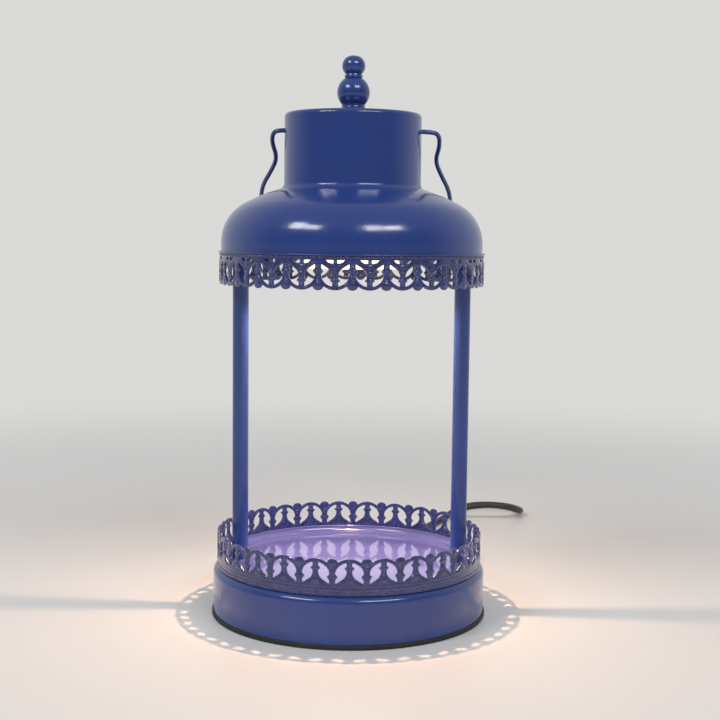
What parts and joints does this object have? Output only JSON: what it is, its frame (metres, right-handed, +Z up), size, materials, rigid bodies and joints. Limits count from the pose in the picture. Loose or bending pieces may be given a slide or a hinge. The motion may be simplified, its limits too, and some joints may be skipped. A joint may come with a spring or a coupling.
{
  "type": "candle warmer lamp",
  "caption": "Lantern-shaped candle warmer lamp: pierced round base tray, slim posts and a bell shade over a heating bulb, with a finial, a wire bail, a dimmer knob and a mains cord.",
  "frame": {"origin": "centre of the foot pad's underside, on the table", "axes": "+Z up, +X through the right-hand post, -Y the front, +Y the side where the cord leaves and the dimmer knob is"},
  "size_m": [0.1901, 0.3473, 0.2935],
  "materials": {
    "foot_rubber": "matte",
    "navy_enamel": "satin",
    "steel": "plain",
    "zinc_screws": "bright",
    "iron": "rough",
    "bulb_glass": "frosted",
    "bulb_reflector": "mirrored inside",
    "bulb_ceramic": "ceramic white",
    "nickel_pins": "bright",
    "holder_ceramic": "ceramic white",
    "dimmer_case": "gloss",
    "knob_plastic": "satin",
    "shaft_metal": "turned",
    "relief_plastic": "matte",
    "cord_jacket": "satin",
    "tie_plastic": "matte",
    "plug_plastic": "satin",
    "blade_brass": "bright",
    "block_plastic": "translucent white",
    "block_screws": "bright",
    "lead_jacket": "glass braid",
    "clamp_plastic": "matte"
  },
  "bodies": {
    "root": {"foot_pad": "foot_rubber", "bottom_plate": "steel", "cover_pillars": "steel", "cover_screws": "zinc_screws", "ballast": "iron", "ballast_screws": "zinc_screws", "base_drum": "navy_enamel", "tray": "navy_enamel", "base_gallery": "navy_enamel", "shade_gallery": "navy_enamel", "post_right": "navy_enamel", "post_left": "navy_enamel", "post_nuts_lower": "zinc_screws", "post_nuts_upper": "zinc_screws", "shade_shell": "navy_enamel", "shade_strap": "steel", "bulb_reflector": "bulb_reflector", "bulb_lens": "bulb_glass", "bulb_capsule": "bulb_glass", "bulb_base": "bulb_ceramic", "bulb_pins": "nickel_pins", "lamp_holder": "holder_ceramic", "holder_bracket": "steel", "holder_screws": "zinc_screws", "finial": "navy_enamel", "finial_stud": "zinc_screws", "finial_nut": "zinc_screws", "dimmer_body": "dimmer_case", "dimmer_nut": "zinc_screws", "strain_relief": "relief_plastic", "cord_inner": "cord_jacket", "cord_clamp": "clamp_plastic", "clamp_screws": "zinc_screws", "terminal_block": "block_plastic", "terminal_screws": "block_screws", "lead_wires": "lead_jacket", "dimmer_leads": "lead_jacket", "cord_coil": "cord_jacket", "coil_tie": "tie_plastic", "cord": "cord_jacket", "cord_tail": "cord_jacket", "plug_body": "plug_plastic", "plug_blades": "blade_brass"},
    "bail": {"bail_handle": "navy_enamel"},
    "knob": {"dimmer_shaft": "shaft_metal", "dimmer_knob": "knob_plastic"}
  },
  "joints": [
    {"name": "bail_swing", "type": "hinge", "parent": "root", "child": "bail", "pos_m": [0, 0, 0.2547], "axis": [1, 0, 0], "range_deg": [0, 256]},
    {"name": "dimmer_turn", "type": "hinge", "parent": "root", "child": "knob", "pos_m": [0, 0.0753, 0.013], "axis": [0, -1, 0], "range_deg": [0, 270]}
  ]
}
